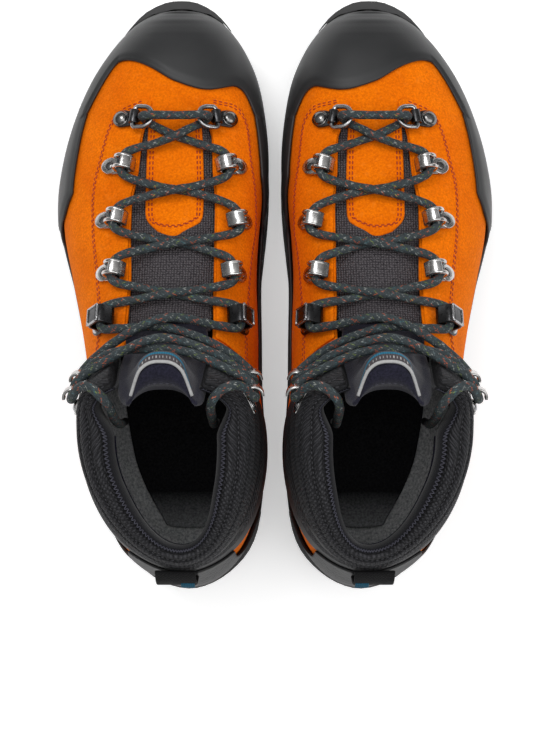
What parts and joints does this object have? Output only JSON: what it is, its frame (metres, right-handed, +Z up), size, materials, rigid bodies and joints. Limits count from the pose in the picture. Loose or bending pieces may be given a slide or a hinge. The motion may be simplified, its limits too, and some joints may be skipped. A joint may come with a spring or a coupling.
{
  "type": "mountaineering boots",
  "caption": "Pair of laced leather mountaineering boots with rubber rands, padded collars, metal lace hardware, crampon ledges and lugged soles.",
  "frame": {"origin": "on the ground at the middle of the pair's bounding box", "axes": "+Y toward the toes, +Z up, the right boot at +X"},
  "size_m": [0.2292, 0.3104, 0.1957],
  "materials": {
    "suede": "orange nubuck leather with a fine nap",
    "rand_rubber": "smooth dark grey rubber with a soft sheen",
    "sole_rubber": "black moulded rubber",
    "midsole_foam": "dark grey compressed foam",
    "welt_rubber": "black moulded rubber ledge",
    "heel_rubber": "textured black rubber",
    "lasting_board": "pressed fibre board",
    "shank_steel": "spring steel",
    "footbed_felt": "light grey felt",
    "tongue_mesh": "charcoal textured mesh",
    "tongue_knit": "dark navy knitted lining",
    "label_weave": "woven grey label",
    "collar_fabric": "black padded stretch fabric",
    "ankle_leather": "smooth dark grey synthetic leather",
    "lining_knit": "dark navy knitted mesh",
    "webbing": "black woven tape",
    "lock_metal": "gunmetal",
    "ring_metal": "satin steel wire",
    "hook_metal": "satin steel",
    "rivet_metal": "domed steel rivet head",
    "lace_braid": "charcoal braid with orange, white and green flecks",
    "aglet_plastic": "black shrink tip",
    "stiffener": "thermoplastic sheet"
  },
  "bodies": {
    "right_boot": {"right_outsole": "sole_rubber", "right_midsole": "midsole_foam", "right_toe_welt": "welt_rubber", "right_heel_welt": "welt_rubber", "right_lasting_board": "lasting_board", "right_shank": "shank_steel", "right_footbed": "footbed_felt", "right_rand": "rand_rubber", "right_heel_patch": "heel_rubber", "right_upper": "suede", "right_eyestays": "suede", "right_tongue_base": "tongue_mesh", "right_tongue_patch": "suede", "right_cuff": "collar_fabric", "right_ankle_strip": "ankle_leather", "right_lining": "lining_knit", "right_pull_loop": "webbing", "right_ring_clips": "lock_metal", "right_eyelets": "ring_metal", "right_ankle_locks": "lock_metal", "right_cuff_hooks": "hook_metal", "right_rivets": "rivet_metal", "right_lace": "lace_braid", "right_aglets": "aglet_plastic", "right_toe_puff": "stiffener", "right_heel_counter": "stiffener"},
    "right_inner_ring": {"right_ring_medial": "ring_metal"},
    "right_outer_ring": {"right_ring_lateral": "ring_metal"},
    "right_tongue": {"right_tongue_top": "tongue_knit", "right_tongue_label": "label_weave"},
    "left_boot": {"left_outsole": "sole_rubber", "left_midsole": "midsole_foam", "left_toe_welt": "welt_rubber", "left_heel_welt": "welt_rubber", "left_lasting_board": "lasting_board", "left_shank": "shank_steel", "left_footbed": "footbed_felt", "left_rand": "rand_rubber", "left_heel_patch": "heel_rubber", "left_upper": "suede", "left_eyestays": "suede", "left_tongue_base": "tongue_mesh", "left_tongue_patch": "suede", "left_cuff": "collar_fabric", "left_ankle_strip": "ankle_leather", "left_lining": "lining_knit", "left_pull_loop": "webbing", "left_ring_clips": "lock_metal", "left_eyelets": "ring_metal", "left_ankle_locks": "lock_metal", "left_cuff_hooks": "hook_metal", "left_rivets": "rivet_metal", "left_lace": "lace_braid", "left_aglets": "aglet_plastic", "left_toe_puff": "stiffener", "left_heel_counter": "stiffener"},
    "left_inner_ring": {"left_ring_medial": "ring_metal"},
    "left_outer_ring": {"left_ring_lateral": "ring_metal"},
    "left_tongue": {"left_tongue_top": "tongue_knit", "left_tongue_label": "label_weave"}
  },
  "joints": [
    {"name": "left_boot_apart", "type": "slide", "parent": "right_boot", "child": "left_boot", "axis": [-1, 0, 0], "range_m": [0, 0.15]},
    {"name": "right_inner_ring_turn", "type": "hinge", "parent": "right_boot", "child": "right_inner_ring", "pos_m": [0.0294, 0.08894, 0.08116], "axis": [-0.169, -0.9503, 0.2614], "range_deg": [-3, 3]},
    {"name": "right_outer_ring_turn", "type": "hinge", "parent": "right_boot", "child": "right_outer_ring", "pos_m": [0.07119, 0.08901, 0.08112], "axis": [-0.1352, 0.949, -0.2847], "range_deg": [-3, 3]},
    {"name": "right_tongue_tilt", "type": "hinge", "parent": "right_boot", "child": "right_tongue", "pos_m": [0.0515, -0.015, 0.129], "axis": [1, 0, 0], "range_deg": [0, 6]},
    {"name": "left_inner_ring_turn", "type": "hinge", "parent": "left_boot", "child": "left_inner_ring", "pos_m": [-0.0294, 0.08894, 0.08116], "axis": [-0.169, 0.9503, -0.2614], "range_deg": [-3, 3]},
    {"name": "left_outer_ring_turn", "type": "hinge", "parent": "left_boot", "child": "left_outer_ring", "pos_m": [-0.07119, 0.08901, 0.08112], "axis": [-0.1352, -0.949, 0.2847], "range_deg": [-3, 3]},
    {"name": "left_tongue_tilt", "type": "hinge", "parent": "left_boot", "child": "left_tongue", "pos_m": [-0.0515, -0.015, 0.129], "axis": [1, 0, 0], "range_deg": [0, 6]}
  ]
}
